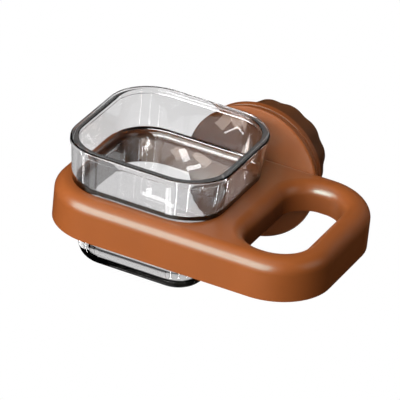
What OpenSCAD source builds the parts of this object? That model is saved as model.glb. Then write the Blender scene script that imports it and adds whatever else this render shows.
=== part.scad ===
// Seed cup for a bird cage: a clear stepped cup lifts out of a moulded bracket,
// which has a perch loop beside the cup and a round screw clamp behind it.
// The origin is the middle of the bracket's clamp face, on the bolt's axis.
// +Y points through the cage bars to the knob, +Z is up, +X runs to the loop.

/* [Bracket] */
// Height of the bracket's outer wall
frame_h = 20.5; // [16:0.5:26]
// Radius of the bracket's four corners, seen from above
frame_corner_r = 28; // [20:1:34]
// Radius of the soft edge round the bracket's top
frame_edge_r = 6.5; // [4:0.5:8]
// Thickness of the bracket's walls and top skin
wall = 2.6; // [1.8:0.1:3.2]
// Thickness of the ribs under the top skin
rib_t = 1.6; // [1:0.1:2.4]
// How far the inner walls end above the bracket's underside
skirt_rise = 6.3; // [3:0.1:9]
// How far the ribs end above the inner walls' lower edges
rib_rise = 1.2; // [0.5:0.1:4]

/* [Perch loop] */
// Width of the bar round the loop
loop_bar = 13; // [11:0.5:17]
// Width of the bar between the cup's wall and the opening
middle_bar = 13.3; // [11:0.1:20]
// Width of the loop's opening, along the bracket
loop_w = 30; // [24:1:40]
// Radius of the soft edge round the opening
loop_edge_r = 6; // [3:0.5:6.5]

/* [Cup seat] */
// Land between the bracket's left end and the cup's wall
seat_margin = 7.3; // [6:0.1:12]
// Clearance between the cup's lower bowl and its hole
seat_clear = 0.6; // [0.4:0.1:1.2]
// How much smaller the hole's top edge is than the hollow corner above it
seat_edge_clear = 0.2; // [0.2:0.1:1]
// Clearance between the cup's lip and the clamp plate behind it
rim_clear = 0.6; // [0.4:0.1:2]

/* [Clamp plate] */
// Diameter of the round plate at its front
plate_d = 67; // [56:1:74]
// Thickness of the round plate
plate_t = 5; // [4.8:0.2:6]
// How much the plate's radius shrinks from its front to its back
plate_draft = 1.1; // [0:0.1:2]
// Radius of the plate's front edge
plate_edge_r = 0.6; // [0.2:0.1:1.5]
// Height of the plate's middle above the bracket's underside
plate_z = 11.5; // [8:0.5:14]
// How far the plate's middle lies right of the bracket's middle
plate_shift = 0.5; // [-2:0.5:4]
// Number of grip rings cut in each clamp face
grip_count = 3; // [2:1:4]
// Width of one grip ring
grip_w = 2; // [1:0.5:3]
// Depth of the grip rings
grip_depth = 0.5; // [0.2:0.1:0.8]
// Radius of the innermost grip ring
grip_start_r = 15; // [13:1:18]
// Distance from one grip ring to the next
grip_pitch = 5; // [4:0.5:5.5]

/* [Clamp bolt and nut] */
// Diameter of the bolt
bolt_d = 8; // [6:1:10]
// Width of the bolt's head and of the nut across their flats
hex_af = 13; // [11:1:15]
// Thickness of the bolt's head
head_t = 3.5; // [2.5:0.5:3.5]
// Plastic between the bolt's head and the clamp face
head_seat_t = 3.3; // [3.1:0.1:3.5]
// Plastic that covers the bolt's head in front
head_cover_t = 1; // [0.6:0.1:1.2]
// Plastic round the bolt's head
head_boss_t = 1.2; // [0.8:0.1:1.4]
// Chamfer on the bolt's end
bolt_chamfer = 0.8; // [0.4:0.1:1.2]
// Thickness of the nut
nut_t = 6.5; // [5:0.5:7.5]
// Radial clearance of the nut and the pressure plate on the bolt
bolt_clear = 0.05; // [0.03:0.01:0.1]

/* [Pressure plate] */
// Diameter of the pressure plate
press_d = 65.2; // [56:0.2:70]
// Thickness of the pressure plate
press_t = 3; // [2.6:0.1:4]
// Gap between the clamp faces in the closed clamp
closed_gap = 0.4; // [0.3:0.1:3]
// Radius of the pressure plate's front edge
press_edge_r = 0.7; // [0.3:0.1:1.2]
// Depth of the dish in the pressure plate's back
press_dish = 0.8; // [0.3:0.1:1]

/* [Knob] */
// Diameter of the knob over its lobes
knob_d = 52; // [48:0.5:60]
// Thickness of the knob
knob_t = 19.6; // [14:0.2:22]
// Number of lobes round the knob
lobe_count = 12; // [8:1:16]
// How far the knob is turned in the closed clamp
lobe_turn = 0.5; // [0:0.5:30]
// Depth of the scallops between the lobes
scallop_depth = 0.8; // [0.4:0.1:1.4]
// Radius of each scallop
scallop_r = 26; // [16:1:40]
// Radius of the knob's back edge
knob_edge_r = 1.2; // [0.8:0.1:2]
// Thickness of the knob's rim and back
knob_wall = 2.4; // [2:0.1:3]
// Thickness of the plastic round the nut
hub_t = 4.5; // [3:0.5:5]
// Running gap between the knob's rim and the pressure plate
knob_gap = 0.3; // [0.3:0.1:1]
// Recess of the nut's face inside the hub
nut_recess = 0.3; // [0.2:0.1:0.8]
// Depth of the dish in the knob's back
knob_dish = 1.2; // [0.4:0.1:1.4]
// Number of ribs inside the knob
knob_ribs = 8; // [6:1:10]

/* [Seed cup] */
// Width of the cup where it stands on the bracket
cup_w = 76.4; // [72:0.2:80]
// Radius of the cup's corners there
cup_corner_r = 20.7; // [18:0.1:26]
// How far each wall of the upper bowl runs out on its way up to the lip
upper_out = 1.5; // [0.5:0.1:2]
// Height of the cup above the bracket
upper_h = 21.8; // [16:0.2:30]
// Thickness of the cup's walls
cup_wall = 2.5; // [1.8:0.1:3]
// Height of the lip
lip_h = 3.3; // [2:0.1:5]
// How far the lip stands out from the wall
lip_out = 0.7; // [0.3:0.1:0.8]
// Thickness of the cup at the lip
lip_t = 4; // [3:0.1:5]
// Radius of the lip's edges
lip_edge_r = 0.7; // [0.3:0.1:1]
// How far the lower bowl stands in from the upper one
step_in = 3.9; // [3.6:0.1:6]
// Radius of the hollow corner under the step
step_r = 2.4; // [2.4:0.1:3.5]
// How far each wall of the lower bowl runs in on its way down to the base
lower_in = 1.9; // [0.5:0.1:3]
// Depth of the cup below the bracket's top
lower_h = 41.5; // [30:0.5:60]
// Outer radius round the cup's base
base_r = 9.5; // [4:0.5:12]
// Thickness of the cup's base
base_t = 4.4; // [2.4:0.2:5]
// Inner radius round the cup's floor
floor_r = 10; // [3:0.5:11]

/* [Hidden] */
$fn = 48;
// How far a cut runs past the face that it opens
overrun = 1;
// Size of the small break round the cup's foot
break_r = 0.4;
// Radius round a corner's axis that the carried profiles leave to the middle block
eye_r = 1;

// The bracket goes round the cup, the loop's opening and the clamp plate
frame_len = seat_margin + cup_w + middle_bar + loop_w + loop_bar;
frame_depth = cup_w + 2 * (upper_out + lip_out + rim_clear + plate_t);
// Its soft edges are limited by the width of the loop's bar
frame_round_r = min(frame_edge_r, loop_bar / 2);
loop_round_r = min(loop_edge_r, loop_bar / 2);

// The cup's middle, from the bracket's left front corner
cup_x = seat_margin + cup_w / 2;
cup_y = frame_depth / 2;
// Distance from the cup's middle to the centre of each of its corners
cup_core = cup_w / 2 - cup_corner_r;
// Radius of the cup's outline at each level, at the corners
seat_r = cup_corner_r;
wall_top_r = seat_r + upper_out;
lip_r = wall_top_r + lip_out;
bowl_r = seat_r - step_in;
base_out_r = bowl_r - lower_in;
// Levels of the cup, from the bracket's underside
cup_top_z = frame_h + upper_h;
cup_base_z = frame_h - lower_h;
step_z = frame_h - step_r;
// Slope of the lower bowl's wall
floor_z = cup_base_z + base_t;
lower_angle = atan(lower_in / (step_z - cup_base_z));
// Radius of the cup's inner outline at the step and at the top
upper_in_r = seat_r - cup_wall;
top_in_r = lip_r - lip_t;

// The hole for the cup
hole_r = bowl_r + seat_clear;
hole_edge_r = step_r - seat_edge_clear;

// The perch loop's opening. Its corners stay concentric with the bracket's
// until they would meet each other.
loop_corner_share = 0.48;
loop_x = frame_len - loop_bar - loop_w / 2;
loop_d = frame_depth - 2 * loop_bar;
loop_corner_r = min(frame_corner_r - loop_bar, loop_corner_share * loop_w);

// Origin, from the bracket's left front corner
plate_x = frame_len / 2 + plate_shift;
plate_y = frame_depth;

// Levels behind the clamp face
press_y = closed_gap;
press_back_y = press_y + press_t;
nut_y = press_back_y + nut_recess;
bolt_end_y = press_back_y + knob_t - knob_wall;
hub_r = hex_af / 2 / cos(30) + hub_t;
knob_r = knob_d / 2;
rim_in_r = knob_r - scallop_depth - knob_wall;

// From the bracket's left front corner to the clamp's origin
module placed() translate([-plate_x, -plate_y, -plate_z]) children();

// Turns a solid of revolution so that its axis runs along +Y
module along_y() rotate([-90, 0, 0]) children();

// A rounded rectangle round the origin, seen from above
module round_rect(len_x, len_y, r) {
  square([len_x - 2 * r, len_y], center = true);
  square([len_x, len_y - 2 * r], center = true);
  for (sx = [-1, 1], sy = [-1, 1])
    translate([sx * (len_x / 2 - r), sy * (len_y / 2 - r)]) circle(r);
}

// Carries a profile round a rectangle with round corners. The profile's x
// is its distance out from the corner's centre and its y is the height.
module carried(core_x, core_y) {
  for (turn = [0 : 3]) {
    a = turn % 2 == 0 ? core_x : core_y;
    b = turn % 2 == 0 ? core_y : core_x;
    rotate([0, 0, 90 * turn]) translate([a, b, 0]) {
      rotate_extrude(angle = 90) children();
      rotate([90, 0, 0]) linear_extrude(2 * b) children();
    }
  }
}

// The middle block inside a carried profile
module core_block(core_x, core_y, z0, z1)
  translate([-core_x - eye_r, -core_y - eye_r, z0])
    cube([2 * (core_x + eye_r), 2 * (core_y + eye_r), z1 - z0]);

// Profile of a slab's rim with a soft top edge, from the corner's centre
module soft_rim(r, z0, z1, edge) {
  translate([eye_r, z0]) square([r - eye_r, z1 - edge - z0]);
  translate([eye_r, z1 - edge]) square([r - edge - eye_r, edge]);
  intersection() {
    translate([r - edge, z1 - edge]) circle(edge);
    translate([r - edge, z1 - edge]) square(edge);
  }
}

// A slab with round corners and a soft top edge
module soft_slab(len_x, len_y, r, z0, z1, edge) {
  carried(len_x / 2 - r, len_y / 2 - r) soft_rim(r, z0, z1, edge);
  core_block(len_x / 2 - r, len_y / 2 - r, z0, z1);
}

// Profile of an opening that flares out to a soft edge at the top
module flared_rim(r, z0, z1, edge, over) {
  translate([eye_r, z0]) square([r - eye_r, z1 + over - z0]);
  difference() {
    translate([r, z1 - edge]) square([edge, edge + over]);
    translate([r + edge, z1 - edge]) circle(edge);
  }
}

// A plug in the shape of an opening with a soft edge
module flared_plug(core_x, core_y, r, z0, z1, edge, over) {
  carried(core_x, core_y) flared_rim(r, z0, z1, edge, over);
  core_block(core_x, core_y, z0, z1 + over);
}

// Bracket

module frame_void() {
  difference() {
    translate([frame_len / 2, frame_depth / 2, 0])
      soft_slab(frame_len - 2 * wall, frame_depth - 2 * wall, frame_corner_r - wall,
                -overrun, frame_h - wall, frame_round_r - wall);
    loop_collar();
    cup_collar();
    frame_ribs();
  }
}

// The hanging wall round the loop's opening
module loop_collar()
  translate([loop_x, frame_depth / 2, 0])
    flared_plug(loop_w / 2 - loop_corner_r, loop_d / 2 - loop_corner_r, loop_corner_r + wall,
                skirt_rise, frame_h - wall, loop_round_r - wall, wall);

// The hanging wall round the cup's hole
module cup_collar()
  translate([cup_x, cup_y, skirt_rise])
    linear_extrude(frame_h - skirt_rise)
      round_rect(2 * (cup_core + hole_r + wall), 2 * (cup_core + hole_r + wall), hole_r + wall);

// Ribs that tie the outer wall to the inner ones
rib_depth_shares = [0.3, 0.5, 0.7];
module frame_ribs() {
  rib_z = skirt_rise + rib_rise;
  rib_h = frame_h - rib_z;
  bar_x = (cup_x + cup_core + hole_r + loop_x - loop_w / 2) / 2;
  // across the loop's bars and the land left of the cup
  for (share = rib_depth_shares)
    translate([0, frame_depth * share - rib_t / 2, rib_z]) cube([frame_len, rib_t, rib_h]);
  // along the depth, across the front and back bars and down the middle one
  for (x = [cup_x - cup_core, cup_x + cup_core, bar_x, loop_x])
    translate([x - rib_t / 2, 0, rib_z]) cube([rib_t, frame_depth, rib_h]);
}

// The round plate, with its axis upright and its clamp face on top
module clamp_plate_solid()
  rotate_extrude()
    polygon([[0, 0], [plate_d / 2 - plate_edge_r, 0], [plate_d / 2, plate_edge_r],
             [plate_d / 2 - plate_draft, plate_t], [0, plate_t]]);

// Profile of the grip rings, from the clamp face down
module grip_profile()
  for (i = [0 : grip_count - 1])
    translate([grip_start_r + i * grip_pitch, -grip_depth]) square([grip_w, grip_depth + overrun]);

module bracket_frame() color([0.69, 0.39, 0.22]) {
  difference() {
    union() {
      placed() difference() {
        translate([frame_len / 2, frame_depth / 2, 0])
          soft_slab(frame_len, frame_depth, frame_corner_r, 0, frame_h, frame_round_r);
        frame_void();
        translate([loop_x, frame_depth / 2, 0])
          flared_plug(loop_w / 2 - loop_corner_r, loop_d / 2 - loop_corner_r, loop_corner_r,
                      -overrun, frame_h, loop_round_r, overrun);
        translate([cup_x, cup_y, 0])
          flared_plug(cup_core, cup_core, hole_r, -overrun, frame_h, hole_edge_r, overrun);
      }
      translate([0, -plate_t, 0]) along_y() clamp_plate_solid();
      // boss over the bolt's head
      translate([0, -head_seat_t - head_t - head_cover_t, 0]) along_y()
        cylinder(r = hex_af / 2 / cos(30) + head_boss_t, h = head_t + head_cover_t);
    }
    bolt_solid(overrun);
    along_y() rotate_extrude() grip_profile();
  }
}

// Clamp bolt and nut

// The bolt's head and shank, with the shank run on by a stated length
module bolt_solid(extra) {
  translate([0, -head_seat_t - head_t, 0]) along_y()
    cylinder(r = hex_af / 2 / cos(30), h = head_t, $fn = 6);
  translate([0, -head_seat_t, 0]) along_y() cylinder(d = bolt_d, h = head_seat_t + extra);
}

module clamp_bolt() color([0.72, 0.72, 0.74]) {
  bolt_solid(bolt_end_y - bolt_chamfer);
  translate([0, bolt_end_y - bolt_chamfer, 0]) along_y()
    cylinder(r1 = bolt_d / 2, r2 = bolt_d / 2 - bolt_chamfer, h = bolt_chamfer);
}

module knob_nut() color([0.76, 0.71, 0.55])
  translate([0, nut_y, 0]) along_y() difference() {
    cylinder(r = hex_af / 2 / cos(30), h = nut_t, $fn = 6);
    translate([0, 0, -overrun]) cylinder(r = bolt_d / 2 + bolt_clear, h = nut_t + 2 * overrun);
  }

// Pressure plate

module pressure_plate() color([0.62, 0.34, 0.19])
  translate([0, press_y, 0]) along_y() rotate_extrude() {
    bore_r = bolt_d / 2 + bolt_clear;
    out_r = press_d / 2;
    difference() {
      union() {
        translate([bore_r, 0]) square([out_r - press_edge_r - bore_r, press_t]);
        translate([bore_r, press_edge_r]) square([out_r - bore_r, press_t - press_edge_r]);
        translate([out_r - press_edge_r, press_edge_r]) circle(press_edge_r);
      }
      mirror([0, 1]) grip_profile();
      // dish in the back, between the hub's seat and the rim
      translate([hub_r + knob_gap, press_t - press_dish])
        square([out_r - knob_wall - hub_r - knob_gap, press_dish + overrun]);
    }
  }

// Knob

module knob_blank()
  rotate_extrude() {
    // the rim and back, with a soft back edge and a dish in the back
    difference() {
      union() {
        square([knob_r, knob_t - knob_edge_r]);
        square([knob_r - knob_edge_r, knob_t]);
        translate([knob_r - knob_edge_r, knob_t - knob_edge_r]) circle(knob_edge_r);
      }
      translate([hex_af / 2, knob_t - knob_dish])
        square([rim_in_r - hex_af / 2 - knob_wall, knob_dish + overrun]);
    }
  }

// The hollow behind the rim, open towards the pressure plate
module knob_hollow()
  difference() {
    translate([0, 0, -overrun]) cylinder(r = rim_in_r, h = knob_t - knob_dish - knob_wall + overrun);
    translate([0, 0, -overrun]) cylinder(r = hub_r, h = knob_t);
    for (i = [0 : knob_ribs - 1])
      rotate([0, 0, 360 / knob_ribs * i]) translate([0, -rib_t / 2, knob_gap])
        cube([rim_in_r + overrun, rib_t, knob_t]);
  }

module clamp_knob() color([0.36, 0.21, 0.14])
  translate([0, press_back_y, 0]) along_y() difference() {
    knob_blank();
    knob_hollow();
    // running gap in front of the rim
    translate([0, 0, -overrun]) difference() {
      cylinder(r = knob_r + overrun, h = knob_gap + overrun);
      cylinder(r = hub_r, h = knob_gap + overrun);
    }
    // scallops
    for (i = [0 : lobe_count - 1])
      rotate([0, 0, lobe_turn + 360 / lobe_count * i])
        translate([knob_r - scallop_depth + scallop_r, 0, -overrun])
          cylinder(r = scallop_r, h = knob_t + 2 * overrun);
    // pocket for the nut, and the blind bore for the bolt's end
    translate([0, 0, -overrun])
      cylinder(r = hex_af / 2 / cos(30), h = overrun + nut_recess + nut_t, $fn = 6);
    cylinder(r = bolt_d / 2 + knob_gap, h = knob_t - knob_wall + knob_gap);
  }

// Seed cup

// Profile of one skin of the lower bowl, filled, from its bottom at z0 up to
// the step. wall_r is its radius where the wall would meet the base's underside.
module bowl_skin(wall_r, z0, corner_r, top_r) {
  cx = wall_r + (z0 + corner_r - cup_base_z) * tan(lower_angle) - corner_r / cos(lower_angle);
  cz = z0 + corner_r;
  polygon([[eye_r, z0], [cx, z0],
           [cx + corner_r * cos(lower_angle), cz - corner_r * sin(lower_angle)],
           [top_r, step_z], [eye_r, step_z]]);
  // the arc touches the base and the wall, so the rest of its circle lies inside them
  intersection() {
    translate([cx, cz]) circle(corner_r);
    translate([eye_r, z0]) square(2 * corner_r);
  }
}

// The cup's outer profile, from the corner's centre
module cup_outside() {
  bowl_skin(base_out_r, cup_base_z, base_r, bowl_r);
  // hollow corner under the step
  difference() {
    translate([eye_r, step_z]) square([bowl_r + step_r - eye_r, step_r]);
    translate([bowl_r + step_r, step_z]) circle(step_r);
  }
  // upper bowl, with a small break at its foot
  polygon([[eye_r, frame_h], [seat_r - break_r, frame_h], [seat_r, frame_h + break_r],
           [wall_top_r, cup_top_z - lip_h], [eye_r, cup_top_z - lip_h]]);
  // lip
  translate([eye_r, cup_top_z - lip_h]) square([lip_r - lip_edge_r - eye_r, lip_h]);
  translate([eye_r, cup_top_z - lip_h + lip_edge_r]) square([lip_r - eye_r, lip_h - 2 * lip_edge_r]);
  for (z = [cup_top_z - lip_h + lip_edge_r, cup_top_z - lip_edge_r])
    translate([lip_r - lip_edge_r, z]) circle(lip_edge_r);
}

// The cup's inner profile, from the corner's centre
module cup_inside() {
  bowl_skin(base_out_r - cup_wall, floor_z, floor_r, bowl_r - cup_wall);
  // upper bowl, over the rounded step
  difference() {
    polygon([[eye_r, step_z], [upper_in_r, step_z], [upper_in_r, frame_h],
             [top_in_r, cup_top_z], [top_in_r, cup_top_z + overrun], [eye_r, cup_top_z + overrun]]);
    translate([bowl_r + step_r, step_z]) circle(step_r + cup_wall);
  }
  // soft edge inside the lip
  difference() {
    translate([top_in_r, cup_top_z - lip_edge_r]) square([lip_edge_r, lip_edge_r + overrun]);
    translate([top_in_r + lip_edge_r, cup_top_z - lip_edge_r]) circle(lip_edge_r);
  }
}

module seed_cup() color([0.86, 0.88, 0.9, 0.5]) placed() translate([cup_x, cup_y, 0]) difference() {
  union() {
    carried(cup_core, cup_core) cup_outside();
    core_block(cup_core, cup_core, cup_base_z, cup_top_z);
  }
  carried(cup_core, cup_core) cup_inside();
  core_block(cup_core, cup_core, floor_z, cup_top_z + overrun);
}

bracket_frame();
seed_cup();
clamp_bolt();
pressure_plate();
clamp_knob();
knob_nut();
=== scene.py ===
# Seed cup for a bird cage: a clear cup in a brown bracket with a perch loop and a screw clamp.
import math
import bmesh
import bpy
from mathutils import Matrix, Vector


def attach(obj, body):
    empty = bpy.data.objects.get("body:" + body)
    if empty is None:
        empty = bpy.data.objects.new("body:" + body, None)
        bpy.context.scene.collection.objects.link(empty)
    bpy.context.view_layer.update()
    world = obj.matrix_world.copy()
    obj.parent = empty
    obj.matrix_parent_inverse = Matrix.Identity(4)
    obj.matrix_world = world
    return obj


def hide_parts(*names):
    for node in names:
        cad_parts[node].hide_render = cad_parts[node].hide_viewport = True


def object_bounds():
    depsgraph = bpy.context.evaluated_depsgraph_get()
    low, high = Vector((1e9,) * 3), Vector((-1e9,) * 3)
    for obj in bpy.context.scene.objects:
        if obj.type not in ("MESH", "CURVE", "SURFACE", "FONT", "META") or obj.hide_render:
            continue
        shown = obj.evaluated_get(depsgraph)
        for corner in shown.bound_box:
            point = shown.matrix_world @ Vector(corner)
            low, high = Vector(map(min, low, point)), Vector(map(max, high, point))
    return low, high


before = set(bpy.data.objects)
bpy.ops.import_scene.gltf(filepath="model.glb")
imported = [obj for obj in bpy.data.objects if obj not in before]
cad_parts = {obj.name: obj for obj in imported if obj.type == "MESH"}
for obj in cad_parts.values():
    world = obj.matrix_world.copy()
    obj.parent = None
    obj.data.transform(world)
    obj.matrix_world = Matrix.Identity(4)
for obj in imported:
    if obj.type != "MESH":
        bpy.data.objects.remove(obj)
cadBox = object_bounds()
scene = bpy.context.scene
mm = 0.001
near = 0.01 * mm  # how far off a point may be and still be picked
touching = 0.001 * mm
mergeWithin = 0.002 * mm
print("frame loaded")


def compass(turn, rise):  # a direction, from degrees round the object from its front and degrees up
    turn, rise = math.radians(turn), math.radians(rise)
    return Vector((math.sin(turn) * math.cos(rise), -math.cos(turn) * math.cos(rise), math.sin(rise)))


# Camera, at the photograph's angle

cameraValues = {
    "azimuth": 23.497,  # degrees round the object, from the front towards the perch loop
    "elevation": 29.093,
    "roll": 5.999,
    "distance": 1990.669 * mm,
    "aim": Vector((-0.5, -52.0, -1.5)) * mm,  # the point that the view turns about
    "shift": (-2.728 * mm, 6.823 * mm),  # sideways and upwards, across the view
    "focalPixels": 4300.0,
    "pictureWidth": 400.0,
    "sensor": 36.0,
    "farthest": 20.0,
}


def makeCamera(values):
    roll = math.radians(values["roll"])
    back = compass(values["azimuth"], values["elevation"])
    right = (-back).cross(Vector((0, 0, 1))).normalized()
    up = right.cross(-back)
    rolledRight = right * math.cos(roll) + up * math.sin(roll)
    rolledUp = up * math.cos(roll) - right * math.sin(roll)
    data = bpy.data.cameras.new("photoCamera")
    data.sensor_width = values["sensor"]
    data.lens = values["sensor"] * values["focalPixels"] / values["pictureWidth"]
    data.clip_end = values["farthest"]
    camera = bpy.data.objects.new("photoCamera", data)
    scene.collection.objects.link(camera)
    spot = values["aim"] + back * values["distance"]
    spot += rolledRight * values["shift"][0] + rolledUp * values["shift"][1]
    turned = Matrix((rolledRight, rolledUp, back)).transposed().to_4x4()
    camera.matrix_world = Matrix.Translation(spot) @ turned
    scene.camera = camera
    return back


towardsCamera = makeCamera(cameraValues)
print("camera placed")

# Shader maths


class Shade:  # one socket of a node tree, with the sums that materials need
    def __init__(self, tree, socket=None):
        self.tree = tree
        self.socket = socket

    def node(self, kind, settings=None, sockets=None, out=0):
        made = self.tree.nodes.new(kind)
        for name, value in (settings or {}).items():
            if name == "stops":
                ramp = made.color_ramp
                while len(ramp.elements) < len(value):
                    ramp.elements.new(1)
                for stop, (position, tone) in zip(ramp.elements, value):
                    stop.position = position
                    stop.color = (*tone, 1)
            else:
                setattr(made, name, value)
        for name, value in (sockets or {}).items():
            if isinstance(value, Shade):
                self.tree.links.new(value.socket, made.inputs[name])
            elif value is not None:
                made.inputs[name].default_value = value
        return Shade(self.tree, made.outputs[out] if made.outputs else None)

    def sum(self, operation, one, other):
        return self.node("ShaderNodeMath", {"operation": operation}, {0: one, 1: other})

    def __add__(self, other):
        return self.sum("ADD", self, other)

    def __radd__(self, other):
        return self.sum("ADD", other, self)

    def __sub__(self, other):
        return self.sum("SUBTRACT", self, other)

    def __rsub__(self, other):
        return self.sum("SUBTRACT", other, self)

    def __mul__(self, other):
        return self.sum("MULTIPLY", self, other)

    def __rmul__(self, other):
        return self.sum("MULTIPLY", other, self)

    def __gt__(self, other):
        return self.sum("GREATER_THAN", self, other)


def newMaterial(name):
    material = bpy.data.materials.new(name)
    material.use_nodes = True
    tree = material.node_tree
    tree.nodes.clear()
    return material, Shade(tree)


def finishMaterial(material, start, sockets, inside=None):
    skin = start.node("ShaderNodeBsdfPrincipled", None, sockets)
    start.node("ShaderNodeOutputMaterial", None, {"Surface": skin, "Volume": inside})
    return material


def linear(red, green, blue):  # from the 0 to 255 of a picture to a shader's light
    tones = [tone / 255 for tone in (red, green, blue)]
    return [tone / 12.92 if tone <= 0.04045 else ((tone + 0.055) / 1.055) ** 2.4 for tone in tones]


def objectPlace(start):
    return start.node("ShaderNodeTexCoord", out="Object")


def noise(spot, size, detail):
    return spot.node("ShaderNodeTexNoise", None, {"Vector": spot, "Scale": 1 / size, "Detail": detail})


def blendTones(share, dark, light, stops):  # from the dark to the light tone, between two levels of share
    ramp = [(stops[0], dark), (stops[1], light)]
    return share.node("ShaderNodeValToRGB", {"stops": ramp}, {"Fac": share})


def bumpOf(height):
    return height.node("ShaderNodeBump", None, {"Height": height, "Distance": 1.0, "Strength": 1.0})


# Moulded brown plastic

plasticValues = {
    "grainSize": 0.35 * mm, "grainBump": 0.003 * mm,  # fine grain of the mould
    "cloudSize": 30 * mm, "cloudDark": 0.95, "cloudLight": 1.05,  # slow change of tone
    "cloudStops": (0.3, 0.7),
    "scuffSize": 9 * mm, "scuffRough": 0.06,
    "scratchWide": 0.9 * mm, "scratchLong": 9 * mm, "scratchRough": 0.01, "scratchTurn": (0.2, 0.5, 0.7),
    "waveSize": 22 * mm, "waveBump": 0.02 * mm,  # slight sink of the moulded walls
    "bend": 1.49, "shineLevel": 0.62,
}
brownValues = {  # colour as in a picture, roughness and tint of the shine, by piece
    "bracketPlastic": {"tone": (111, 59, 26), "rough": 0.3, "shine": (0.6, 1.0, 0.95, 1)},
    "platePlastic": {"tone": (106, 56, 25), "rough": 0.3, "shine": (0.6, 1.0, 0.95, 1)},
    # the knob is the bracket's brown plastic; its darker tone is painted shade
    "knobPaintedShadePlastic": {"tone": (72, 42, 22), "rough": 0.31, "shine": (1, 0.96, 0.9, 1)},
}


def makePlastic(name, own, values):
    material, start = newMaterial(name)
    spot = objectPlace(start)
    tone = linear(*own["tone"])
    dark = [share * values["cloudDark"] for share in tone]
    light = [share * values["cloudLight"] for share in tone]
    colour = blendTones(noise(spot, values["cloudSize"], 3.0), dark, light, values["cloudStops"])
    thin = values["scratchLong"] / values["scratchWide"]
    along = start.node("ShaderNodeMapping", None, {
        "Vector": spot, "Rotation": values["scratchTurn"], "Scale": (1, thin, thin)})
    gloss = own["rough"] + (noise(spot, values["scuffSize"], 2.0) - 0.5) * values["scuffRough"]
    gloss = gloss + (noise(along, values["scratchLong"], 2.0) - 0.5) * values["scratchRough"]
    height = noise(spot, values["grainSize"], 1.0) * values["grainBump"]
    height = height + noise(spot, values["waveSize"], 0.0) * values["waveBump"]
    return finishMaterial(material, start, {
        "Base Color": colour, "Roughness": gloss, "IOR": values["bend"], "Specular Tint": own["shine"],
        "Specular IOR Level": values["shineLevel"], "Normal": bumpOf(height)})


# Clear plastic

clearValues = {
    "tint": (0.5, 0.49, 0.48, 1),  # what one absorption length lets through
    "density": 45.0,  # absorption lengths in a metre
    "film": (0.79, 0.785, 0.79, 1),
    "rough": 0.012, "bend": 1.55,
    "streakWide": 4.0 * mm, "streakTall": 60 * mm, "streakBump": 0.02 * mm,  # flow lines of the mould
    "waveSize": 18 * mm, "waveBump": 0.03 * mm,
}


def makeClear(name, values):
    material, start = newMaterial(name)
    spot = objectPlace(start)
    stretch = (1 / values["streakWide"], 1 / values["streakWide"], 1 / values["streakTall"])
    flow = start.node("ShaderNodeMapping", None, {"Vector": spot, "Scale": stretch})
    streak = noise(flow, 1.0, 1.5)
    wave = noise(spot, values["waveSize"], 1.0)
    height = streak * values["streakBump"] + wave * values["waveBump"]
    inside = start.node("ShaderNodeVolumeAbsorption", None, {
        "Color": values["tint"], "Density": values["density"]})
    return finishMaterial(material, start, {
        "Base Color": values["film"], "Roughness": values["rough"], "IOR": values["bend"],
        "Transmission Weight": 1.0, "Normal": bumpOf(height)}, inside)


# Zinc plated steel

steelValues = {
    "dark": (0.46, 0.46, 0.48), "light": (0.68, 0.68, 0.69),  # dull and bright patches of the plating
    "toneSize": 5 * mm, "toneStops": (0.35, 0.65),
    "rough": 0.26, "grainRough": 0.16, "grainSize": 0.8 * mm,
    "pitBump": 0.006 * mm, "pitSize": 0.5 * mm,
}


def makeSteel(name, values):
    material, start = newMaterial(name)
    spot = objectPlace(start)
    patches = noise(spot, values["toneSize"], 3.0)
    colour = blendTones(patches, values["dark"], values["light"], values["toneStops"])
    gloss = values["rough"] + (noise(spot, values["grainSize"], 3.0) - 0.5) * values["grainRough"]
    height = noise(spot, values["pitSize"], 1.0) * values["pitBump"]
    return finishMaterial(material, start, {
        "Base Color": colour, "Metallic": 1.0, "Roughness": gloss, "Normal": bumpOf(height)})


browns = {name: makePlastic(name, own, plasticValues) for name, own in brownValues.items()}
clearPlastic = makeClear("clearPlastic", clearValues)
steel = makeSteel("steel", steelValues)


def dress(node, material):  # gives a CAD piece its finish
    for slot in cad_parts[node].material_slots:
        slot.material = material


dress("bracket_frame", browns["bracketPlastic"])
dress("knob_nut", steel)
dress("pressure_plate", browns["platePlastic"])
print("materials made")

# Modelling helpers, for work in edit mode


def activate(piece):
    bpy.ops.object.select_all(action="DESELECT")
    piece.select_set(True)
    bpy.context.view_layer.objects.active = piece


def startPoint(name, spot):  # a piece that is one selected point, in edit mode
    bpy.ops.object.select_all(action="DESELECT")
    bpy.ops.mesh.primitive_plane_add(size=mm)
    piece = bpy.context.active_object
    piece.name = name
    piece.data.name = name
    bpy.ops.object.mode_set(mode="EDIT")
    bpy.ops.mesh.merge(type="CENTER")
    bpy.ops.transform.translate(value=spot)
    return piece


def drawLine(points):  # extrudes the selected point through the others
    for here, there in zip(points, points[1:]):
        bpy.ops.mesh.extrude_region_move(TRANSFORM_OT_translate={"value": there - here})


def pick(piece, test):  # selects the points that pass a test of their place
    shape = bmesh.from_edit_mesh(piece.data)
    bpy.ops.mesh.select_all(action="DESELECT")
    for vert in shape.verts:
        vert.select_set(test(vert.co))
    shape.select_flush(True)
    bmesh.update_edit_mesh(piece.data)


def mergeDoubles():  # leaves everything selected
    bpy.ops.mesh.select_all(action="SELECT")
    bpy.ops.mesh.remove_doubles(threshold=mergeWithin)


def closeUp(smooth):  # merges doubles, turns faces out and shades up to an angle
    mergeDoubles()
    bpy.ops.mesh.normals_make_consistent(inside=False)
    bpy.ops.object.mode_set(mode="OBJECT")
    bpy.ops.object.shade_smooth_by_angle(angle=math.radians(smooth))


def bevelPrimitive(offset, steps):  # settles the new primitive and breaks all its edges
    piece = bpy.context.active_object
    bpy.ops.object.transform_apply(location=True, rotation=True, scale=True)
    bpy.ops.object.mode_set(mode="EDIT")
    bpy.ops.mesh.bevel(offset=offset, segments=steps, affect="EDGES")
    return piece


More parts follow.
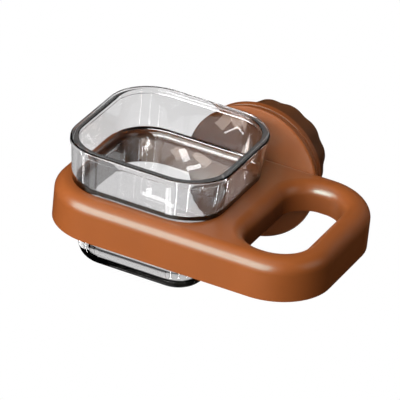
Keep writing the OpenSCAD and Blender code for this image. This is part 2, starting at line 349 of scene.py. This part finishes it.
def useModifier(piece, kind, settings):
    activate(piece)
    modifier = piece.modifiers.new(kind.lower(), kind)
    for name, value in settings.items():
        setattr(modifier, name, value)
    bpy.ops.object.modifier_apply(modifier=modifier.name)


def joinTo(piece, others):
    activate(piece)
    for other in others:
        other.select_set(True)
    bpy.ops.object.join()


def arc(centre, radius, start, end, steps):  # points of a profile, as pairs
    turns = [math.radians(start + (end - start) * step / steps) for step in range(steps + 1)]
    return [(centre[0] + radius * math.cos(turn), centre[1] + radius * math.sin(turn)) for turn in turns]


def fitPiece(piece, body, node, material):  # it rides on a body and stands for a CAD node
    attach(piece, body)
    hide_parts(node)
    piece.data.materials.clear()
    piece.data.materials.append(material)


# Clear cup, a stepped bowl with round corners

cupValues = {
    "centre": Vector((-25.0, -46.0, 0)) * mm,
    "core": 17.5,  # from the middle to the centre of each corner; lengths in mm
    "baseZ": -32.5, "floorZ": -28.1, "stepZ": 6.6, "seatZ": 9.0, "lipZ": 27.5, "topZ": 30.8,
    "baseR": 14.9, "bowlR": 16.8, "seatR": 20.7, "wallTopR": 22.2, "lipR": 22.9,
    "wall": 2.5, "lipWide": 4.0, "lipRound": 0.85, "lipInRound": 0.8,
    "baseRound": 9.5, "floorRound": 10.0, "stepRound": 2.4, "seatBreak": 0.7,
    "shoulderFrom": 101.8,  # degrees at which the inner wall meets the round shoulder over the step
    "footRecess": 0.5, "footWide": 1.6,  # the base stands on a narrow ring
    "holdGap": 0.35, "holdFrom": 3.0,
    "baseSteps": 14, "hollowSteps": 8, "seatSteps": 3, "underLipSteps": 6, "lipSteps": 8,
    "lipInSteps": 5, "shoulderSteps": 9, "floorSteps": 12, "cornerSteps": 24,
    "smooth": 38,
}


def holdFlats(line, gap, least):  # extra points by the ends of long straights, so that they shade flat
    full = line[:1]
    for here, there in zip(line, line[1:]):
        length = math.dist(here, there)
        for share in ((gap / length, 1 - gap / length) if length > least else ()):
            full.append(tuple(one + (other - one) * share for one, other in zip(here, there)))
        full.append(there)
    return full


def cupProfile(v):  # from the base's middle round the outside and the lip to the floor's middle
    slope = math.atan((v["bowlR"] - v["baseR"]) / (v["stepZ"] - v["baseZ"]))
    lean = math.degrees(slope)

    def corner(z, wallR, radius):  # centre of the round corner at a bowl's foot
        run = (z + radius - v["baseZ"]) * math.tan(slope)
        return wallR + run - radius / math.cos(slope), z + radius

    outer = corner(v["baseZ"], v["baseR"], v["baseRound"])
    inner = corner(v["floorZ"], v["baseR"] - v["wall"], v["floorRound"])
    foot = outer[0] - v["footWide"]
    recess = v["baseZ"] + v["footRecess"]
    hollow = (v["bowlR"] + v["stepRound"], v["stepZ"])
    seat = (v["seatR"] - v["seatBreak"], v["seatZ"] + v["seatBreak"])
    edge = v["lipRound"]
    under = math.degrees(math.acos(1 - (v["lipR"] - v["wallTopR"]) / edge))
    underLip = (v["lipR"] - edge, v["lipZ"] + edge * math.sin(math.radians(under)))
    lipIn = (v["lipR"] - v["lipWide"] + v["lipInRound"], v["topZ"] - v["lipInRound"])
    line = [(0, recess), (foot - v["footRecess"], recess), (foot, v["baseZ"])]
    line += arc(outer, v["baseRound"], -90, -lean, v["baseSteps"])
    line += arc(hollow, v["stepRound"], 180, 90, v["hollowSteps"])
    line += arc(seat, v["seatBreak"], -90, 0, v["seatSteps"])
    line += arc(underLip, edge, -under, 0, v["underLipSteps"])
    line += arc((v["lipR"] - edge, v["topZ"] - edge), edge, 0, 90, v["lipSteps"])
    line += arc(lipIn, v["lipInRound"], 90, 180, v["lipInSteps"])
    line += arc(hollow, v["stepRound"] + v["wall"], v["shoulderFrom"], 180, v["shoulderSteps"])
    line += arc(inner, v["floorRound"], -lean, -90, v["floorSteps"])
    return holdFlats(line + [(0, v["floorZ"])], v["holdGap"], v["holdFrom"])


def makeCup(v):  # one quarter, mirrored twice
    core = v["core"] * mm
    points = [Vector((0, core + out * mm, up * mm)) for out, up in cupProfile(v)]
    points = [Vector((0, 0, points[0].z))] + points + [Vector((0, 0, points[-1].z))]
    cup = startPoint("seedCup", points[0])
    drawLine(points)
    bpy.ops.mesh.select_all(action="SELECT")
    bpy.ops.mesh.extrude_region_move(TRANSFORM_OT_translate={"value": (core, 0, 0)})
    pick(cup, lambda co: co.x > core - near and co.y > core - near)
    bpy.ops.mesh.spin(steps=v["cornerSteps"], angle=math.radians(90),
                      center=(core, core, 0), axis=(0, 0, 1))
    pick(cup, lambda co: co.x > core - near and abs(co.y - core) < touching)
    bpy.ops.mesh.extrude_region_move(TRANSFORM_OT_translate={"value": (0, -core, 0)})
    mergeDoubles()
    bpy.ops.object.mode_set(mode="OBJECT")
    useModifier(cup, "MIRROR", {"use_axis": (True, True, False), "merge_threshold": near})
    bpy.ops.object.mode_set(mode="EDIT")
    bpy.ops.mesh.select_all(action="SELECT")
    bpy.ops.transform.translate(value=v["centre"])
    closeUp(v["smooth"])
    return cup


cup = makeCup(cupValues)
fitPiece(cup, "cup", "seed_cup", clearPlastic)
print("cup modelled:", len(cup.data.polygons), "faces")

# Knob behind the clamp, with soft lobes

knobValues = {
    "frontY": 3.7, "hubY": 3.4, "backY": 23.0, "outR": 26.0,  # lengths in mm
    "backRound": 1.2, "frontRound": 0.6, "backSteps": 7, "frontSteps": 4,
    "rimInR": 22.8, "ceilingY": 19.4, "hubR": 12.0,
    "dishInR": 6.5, "dishOutR": 20.4, "dishDeep": 1.2, "dishRound": 0.9, "dishSteps": 4,
    "nutR": 7.506, "nutDeepY": 10.2, "boreR": 4.3, "boreY": 20.9, "nutSides": 6,
    "lobes": 12, "lobeSteps": 20, "lobeTurn": 0.5, "lobeDeep": 0.8,
    "lobePoint": 1.4,  # over 1 gives broad lobes with narrower scallops
    "lobeSkin": 0.5,  # how far outside the rim's inner wall the lobes begin
    "ribs": 8, "ribWide": 1.6, "ribFrontY": 4.2, "ribSink": 0.2, "ribEdge": 0.25, "ribEdgeSteps": 2,
    "pickWithin": 0.1, "beyond": 99,  # how close to the nut's pocket, and past every point
    "smooth": 32,
}


def knobProfile(v):  # from the back's middle round the rim, into the hollow and down the bore
    back, half = v["backY"], v["dishDeep"] / 2
    soft, outer, front = v["dishRound"], v["backRound"], v["frontRound"]
    inside, outside = v["dishInR"] - soft, v["dishOutR"] + soft
    line = [(0, back), (inside, back)]
    line += arc((inside, back - half), half, 90, 0, v["dishSteps"])
    line += arc((inside + 2 * half, back - half), half, 180, 270, v["dishSteps"])
    line += arc((outside - 2 * half, back - half), half, 270, 360, v["dishSteps"])
    line += arc((outside, back - half), half, 180, 90, v["dishSteps"])
    line += arc((v["outR"] - outer, back - outer), outer, 90, 0, v["backSteps"])
    line += arc((v["outR"] - front, v["frontY"] + front), front, 0, -90, v["frontSteps"])
    line += [(v["rimInR"], v["frontY"]), (v["rimInR"], v["ceilingY"]), (v["hubR"], v["ceilingY"])]
    line += [(v["hubR"], v["hubY"]), (v["nutR"], v["hubY"]), (v["nutR"], v["nutDeepY"])]
    line += [(v["boreR"], v["nutDeepY"]), (v["boreR"], v["boreY"]), (0, v["boreY"])]
    return [point for point, before in zip(line, [None] + line) if point != before]


def ripple(piece, columns, period, radii, levels, size):  # sizes each column of points about the Y axis
    step = 360 / columns
    for column in range(period):
        share = size(column * step)
        pick(piece, lambda co: radii[0] < math.hypot(co.x, co.z) / mm < radii[1]
             and levels[0] < co.y / mm < levels[1]
             and round(math.degrees(math.atan2(co.z, co.x)) / step) % period == column)
        bpy.ops.transform.resize(value=(share, 1, share), center_override=(0, 0, 0))


def makeRib(v):
    length = v["rimInR"] - v["hubR"] + 2 * v["ribSink"]
    depth = v["ceilingY"] - v["ribFrontY"] + v["ribSink"]
    middle = Vector((v["hubR"] - v["ribSink"] + length / 2, v["ribFrontY"] + depth / 2, 0)) * mm
    bpy.ops.mesh.primitive_cube_add(size=mm, location=middle, scale=(length, depth, v["ribWide"]))
    rib = bevelPrimitive(v["ribEdge"] * mm, v["ribEdgeSteps"])
    bpy.ops.object.mode_set(mode="OBJECT")
    return rib


def turnedCopy(piece, turn):
    activate(piece)
    bpy.ops.object.duplicate(linked=False)
    bpy.ops.object.mode_set(mode="EDIT")
    bpy.ops.mesh.select_all(action="SELECT")
    bpy.ops.transform.rotate(value=turn, orient_axis="Y", center_override=(0, 0, 0))
    bpy.ops.object.mode_set(mode="OBJECT")
    return bpy.context.active_object


def makeKnob(v):
    points = [Vector((out, along, 0)) * mm for out, along in knobProfile(v)]
    knob = startPoint("clampKnob", points[0])
    drawLine(points)
    columns = v["lobes"] * v["lobeSteps"]
    bpy.ops.mesh.select_all(action="SELECT")
    bpy.ops.mesh.spin(steps=columns, angle=math.tau, center=(0, 0, 0), axis=(0, 1, 0))
    mergeDoubles()
    side = 360 / v["nutSides"]

    def lobe(turn):
        phase = math.radians((turn + v["lobeTurn"]) * v["lobes"])
        return 1 - v["lobeDeep"] / v["outR"] * (0.5 + 0.5 * math.cos(phase)) ** v["lobePoint"]

    def hexagon(turn):
        return math.cos(math.radians(side / 2)) / math.cos(math.radians(turn % side - side / 2))

    spare, beyond = v["pickWithin"], v["beyond"]
    ripple(knob, columns, v["lobeSteps"], (v["rimInR"] + v["lobeSkin"], beyond), (0, beyond), lobe)
    ripple(knob, columns, columns // v["nutSides"], (v["nutR"] - spare, v["nutR"] + spare),
           (0, v["nutDeepY"] + spare), hexagon)
    closeUp(v["smooth"])
    rib = makeRib(v)
    copies = [turnedCopy(rib, math.tau * count / v["ribs"]) for count in range(1, v["ribs"])]
    joinTo(knob, [rib] + copies)
    return knob


knob = makeKnob(knobValues)
fitPiece(knob, "knob", "clamp_knob", browns["knobPaintedShadePlastic"])
print("knob modelled:", len(knob.data.polygons), "faces")

# Steel bolt, with its thread

boltValues = {
    "headY": -6.8, "seatY": -3.3, "endY": 20.6,  # lengths in mm
    "headR": 7.506, "headEdge": 0.35, "headEdgeSteps": 2, "headSides": 6,
    "crestR": 4.0, "rootR": 3.3, "pitch": 1.25, "flat": 0.12, "steps": 28, "tipShare": 0.85,
    "shankSink": 0.8,  # how deep the thread's solid ends in the head
    "smooth": 30,
}


def makeHead(v):
    deep = v["seatY"] - v["headY"]
    bpy.ops.object.select_all(action="DESELECT")
    bpy.ops.mesh.primitive_cylinder_add(
        vertices=v["headSides"], radius=v["headR"] * mm, depth=deep * mm,
        location=(0, (v["headY"] + deep / 2) * mm, 0), rotation=(math.pi / 2, math.pi / v["headSides"], 0))
    head = bevelPrimitive(v["headEdge"] * mm, v["headEdgeSteps"])
    closeUp(v["smooth"])
    return head


def makeBolt(v):
    root, crest, pitch, flat = v["rootR"], v["crestR"], v["pitch"], v["flat"]
    start = v["seatY"] - 2 * pitch
    half = pitch / 2
    ridge = [(root, 0), (root, flat), (crest, half - flat / 2)]
    ridge += [(crest, half + flat / 2), (root, pitch - flat), (root, pitch)]
    points = [Vector((out, start + along, 0)) * mm for out, along in ridge]
    bolt = startPoint("clampBolt", points[0])
    drawLine(points)
    bpy.ops.object.mode_set(mode="OBJECT")
    turns = math.ceil((v["endY"] - start) / pitch) + 1
    useModifier(bolt, "SCREW", {
        "axis": "Y", "angle": math.tau, "screw_offset": pitch * mm, "iterations": turns,
        "steps": v["steps"], "render_steps": v["steps"]})
    bpy.ops.object.mode_set(mode="EDIT")
    mergeDoubles()
    for level, outer in [(v["endY"], True), (v["seatY"] - v["shankSink"], False)]:
        bpy.ops.mesh.select_all(action="SELECT")
        bpy.ops.mesh.bisect(plane_co=(0, level * mm, 0), plane_no=(0, 1, 0), use_fill=True,
                            threshold=touching, clear_outer=outer, clear_inner=not outer)
    pick(bolt, lambda co: co.y > v["endY"] * mm - near)
    bpy.ops.transform.resize(value=(v["tipShare"], 1, v["tipShare"]), center_override=(0, 0, 0))
    closeUp(v["smooth"])
    joinTo(bolt, [makeHead(v)])
    return bolt


bolt = makeBolt(boltValues)
fitPiece(bolt, "bracket", "clamp_bolt", steel)
print("bolt modelled:", len(bolt.data.polygons), "faces")

# Stage

stageValues = {
    "floorSize": 12.0, "floorDrop": 0.35,
    "mirrored": 0.95, "scattered": 0.1,  # the pale floor, as gloss and as matt surfaces see it
    "fill": 0.0175, "fillBelow": 0.0025,  # soft light of the room, from above and from below
    "fillInside": 0.03,  # what gloss inside the clear plastic gets besides
    "fadeLow": -0.25, "fadeHigh": 0.35,  # heights between which it changes
    "darkAbove": 0.05, "paleUpTo": 0.25, "darkFrom": 0.45,  # the room, seen through the cup
}


def surroundings(start, seen, mirrored, scattered):  # one tone for the eye, others for gloss and matt
    gloss = start.node("ShaderNodeLightPath", out="Glossy Depth") > 0.5
    matt = start.node("ShaderNodeLightPath", out="Diffuse Depth") > 0.5
    return (1 - matt) * (1 - gloss) * seen + (1 - matt) * gloss * mirrored + matt * scattered


def fade(value, low, high, start, end):
    return value.node("ShaderNodeMapRange", {"interpolation_type": "SMOOTHSTEP"}, {
        "Value": value, "From Min": low, "From Max": high, "To Min": start, "To Max": end})


def makeFloor(values):
    bpy.ops.object.select_all(action="DESELECT")
    level = cadBox[0].z - values["floorDrop"]
    bpy.ops.mesh.primitive_plane_add(size=values["floorSize"], location=(0, 0, level))
    floor = bpy.context.active_object
    floor.name = "floor"
    material, start = newMaterial("paleFloor")
    finishMaterial(material, start, {
        "Base Color": (0, 0, 0, 1), "Roughness": 1.0, "Specular IOR Level": 0.0, "Emission Strength": 1.0,
        "Emission Color": surroundings(start, 1.0, values["mirrored"], values["scattered"])})
    floor.data.materials.append(material)
    floor.visible_diffuse = False  # the floor brightens the picture, not the object's underside
    floor.visible_glossy = False


def makeRoom(values):
    world = bpy.data.worlds.new("studio")
    scene.world = world
    world.use_nodes = True
    start = Shade(world.node_tree)
    around = start.node("ShaderNodeTexCoord")
    height = start.node("ShaderNodeSeparateXYZ", None, {"Vector": around}, out="Z")
    tone = fade(height, values["fadeLow"], values["fadeHigh"], values["fillBelow"], values["fill"])
    through = fade(height, values["paleUpTo"], values["darkFrom"], 1.0, values["darkAbove"])
    inside = start.node("ShaderNodeLightPath", out="Transmission Depth") > 0.5
    direct = start.node("ShaderNodeLightPath", out="Is Camera Ray")
    seen = through + direct * (1 - through)  # straight past the object the room is plain white
    strength = surroundings(start, seen, tone + inside * values["fillInside"], tone)
    background = world.node_tree.nodes["Background"]
    background.inputs["Color"].default_value = (1, 1, 1, 1)
    world.node_tree.links.new(strength.socket, background.inputs["Strength"])


makeFloor(stageValues)
makeRoom(stageValues)
print("stage placed")

# Lights

lightAim = Vector((0, -0.046, 0))
warmTone = (1.0, 0.86, 0.76)
clearPieces = bpy.data.collections.new("clearPieces")  # some lights sparkle in the clear plastic alone
clearPieces.objects.link(cup)
lightKinds = {  # what each kind of light isn't seen by
    "all": (),
    "matt": ("glossy",),
    "rearMatt": ("glossy", "transmission"),
    "gloss": ("diffuse",),
    "clear": ("diffuse",),  # for the clear plastic alone
    "warm": ("diffuse",),  # the same, in the warm tone
}


def makeSoftbox(name, direction, distance, size, glow, kind):
    data = bpy.data.lights.new(name, "AREA")
    data.shape = "RECTANGLE"
    data.size, data.size_y = size
    data.energy = glow * math.pi * size[0] * size[1]
    light = bpy.data.objects.new(name, data)
    scene.collection.objects.link(light)
    way = direction.normalized()
    light.location = lightAim + way * distance
    light.rotation_euler = way.to_track_quat("Z", "Y").to_euler()
    light.visible_camera = False
    for ray in lightKinds[kind]:
        setattr(light, "visible_" + ray, False)
    if kind == "warm":
        data.color = warmTone
    if kind in ("clear", "warm"):
        light.light_linking.receiver_collection = clearPieces
    return light


lightValues = {  # soft windows: direction, distance and size in metres, panes across and up
    "front": {"direction": Vector((-0.327, -0.898, 0.292)), "distance": 1.2, "size": (1.68, 1.02),
              "panes": (4, 2), "bar": 0.05, "glow": 11.4, "kind": "all"},
    "low": {"direction": Vector((-0.349, -0.78, -0.5)), "distance": 0.6, "size": (0.5, 0.36),
            "panes": (3, 1), "bar": 0.03, "glow": 1.3, "kind": "clear"},
    "back": {"direction": compass(-156.5, 29), "distance": 1.2, "size": (0.9, 0.6),
             "panes": (1, 1), "bar": 0, "glow": 0.75, "kind": "clear"},
    "upper": {"direction": Vector((-0.22, -0.45, 0.87)), "distance": 1.3, "size": (1.3, 0.9),
              "panes": (1, 1), "bar": 0, "glow": 6.8, "kind": "matt"},
    "side": {"direction": compass(95, 25), "distance": 1.4, "size": (0.9, 0.9),
             "panes": (1, 1), "bar": 0, "glow": 0.8, "kind": "all"},
    "rear": {"direction": compass(172, 5), "distance": 1.2, "size": (1.1, 0.8),
             "panes": (1, 1), "bar": 0, "glow": 7.0, "kind": "rearMatt"},
}


def makeWindow(name, values):  # a soft light in panes, whose bars show only in the clear plastic
    columns, rows = values["panes"]
    wide = values["size"][0] / columns
    tall = values["size"][1] / rows
    for column in range(columns):
        for row in range(rows):
            pane = makeSoftbox(f"{name}.{column}.{row}", values["direction"], values["distance"],
                               (wide - values["bar"], tall - values["bar"]), values["glow"], values["kind"])
            across = Vector(((column + 0.5 - columns / 2) * wide, (row + 0.5 - rows / 2) * tall, 0))
            pane.location += pane.rotation_euler.to_matrix() @ across


stripValues = {  # thin upright lamps below the object, for the edges of the lower bowl
    "turns": (-70, 4, 33, 64, 112, 150), "rise": -27.0,
    "distance": 0.62, "size": (0.016, 0.4), "glow": 20.0,
}

# Faces that mirror a lamp towards the camera, by the way that they face
frontWall = Vector((0, -0.9967, -0.0808))
bowlWall = Vector((0, -0.9988, 0.0486))
backWall = Vector((0, -0.9993, 0.0376))
lipTop = Vector((0, 0, 1))
loopCorner = Vector((0.1, -0.915, 0.39))
footCorner = Vector((-0.82, -0.57, -0.05))
footFront = Vector((-0.5, -0.865, -0.05))
glintValues = [  # face, place on it, way of the bar, its length, width and glow, how far off, kind; in mm
    (frontWall, (-3.6, -84.9, 18.6), (0, 0, 1), 17.0, 5.0, 6.0, 12),
    (frontWall, (-15.3, -84.9, 20.6), (0, 0, 1), 5.0, 3.0, 7.0, 45),
    (frontWall, (-2.0, -84.9, 18.9), (1, 0, 0), 34.0, 1.8, 6.0, 45),
    (bowlWall, (-26.0, -14.6, 0.0), (1, 0, -0.1), 34.0, 11.0, 2.4, 20, "warm"),
    (bowlWall, (-44.1, -14.6, -1.2), (0, 0, 1), 9.0, 2.2, 14.0, 20, "warm"),
    (bowlWall, (-33.5, -14.6, 4.0), (0.7, 0, 0.7), 8.0, 6.0, 4.0, 18, "warm"),
    (bowlWall, (-31.0, -14.6, 3.4), (0.5, 0, -0.8), 7.0, 3.4, 11.0, 20),
    (bowlWall, (-25.6, -14.6, -1.4), (0.8, 0, 0.5), 8.0, 2.0, 13.0, 20),
    (bowlWall, (-22.0, -14.6, 4.3), (0.8, 0, -0.5), 9.0, 4.5, 4.5, 22, "warm"),
    (backWall, (-15.0, -9.8, 25.0), (0.5, 0, 0.8), 9.0, 5.0, 4.0, 25, "warm"),
    (backWall, (-8.5, -9.8, 27.5), (-0.5, 0, 0.8), 8.0, 5.0, 5.0, 22, "warm"),
    (backWall, (-9.5, -9.8, 23.0), (0.7, 0, 0.6), 12.0, 0.9, 12.0, 25),
    (backWall, (-1.5, -9.8, 23.0), (0, 0, 1), 16.0, 1.3, 8.0, 25),
    (lipTop, (-25.0, -84.4, 30.8), (1, 0, 0), 74.0, 0.9, 1.5, 40),
    (lipTop, (13.4, -46.0, 30.8), (0, 1, 0), 74.0, 0.9, 1.5, 40),
    (lipTop, (-63.4, -46.0, 30.8), (0, 1, 0), 74.0, 0.9, 1.5, 40),
    (lipTop, (-25.0, -7.6, 30.8), (1, 0, 0), 74.0, 0.9, 1.5, 40),
    (footCorner, (-55.2, -72.3, -22.0), (0, 0, 1), 26.0, 60.0, 1.2, 60),
    (footFront, (-50.3, -76.9, -20.0), (0, 0, 1), 26.0, 60.0, 6.0, 60),
    (loopCorner, (38.0, -12.8, 5.0), (1, 0, 0), 34.0, 19.0, 13.5, 42, "gloss"),
]


def makeGlint(name, face, spot, way, long, wide, glow, off, kind="clear"):
    bounce = 2 * face.dot(towardsCamera) * face - towardsCamera
    way = Vector(way)
    along = way - way.dot(bounce) * bounce
    size = (long * mm * along.length, wide * mm)
    along.normalize()
    glint = makeSoftbox(name, bounce, off * mm, size, glow, kind)
    glint.visible_transmission = False
    turned = Matrix((along, bounce.cross(along), bounce)).transposed().to_4x4()
    glint.matrix_world = Matrix.Translation((Vector(spot) + bounce * off) * mm) @ turned


for name, values in lightValues.items():
    makeWindow(name, values)
for count, turn in enumerate(stripValues["turns"]):
    makeSoftbox(f"strip.{count}", compass(turn, stripValues["rise"]), stripValues["distance"],
                stripValues["size"], stripValues["glow"], "clear")
for count, glint in enumerate(glintValues):
    makeGlint(f"glint.{count}", *glint)

scene.view_settings.view_transform = "Standard"
print("lights placed")
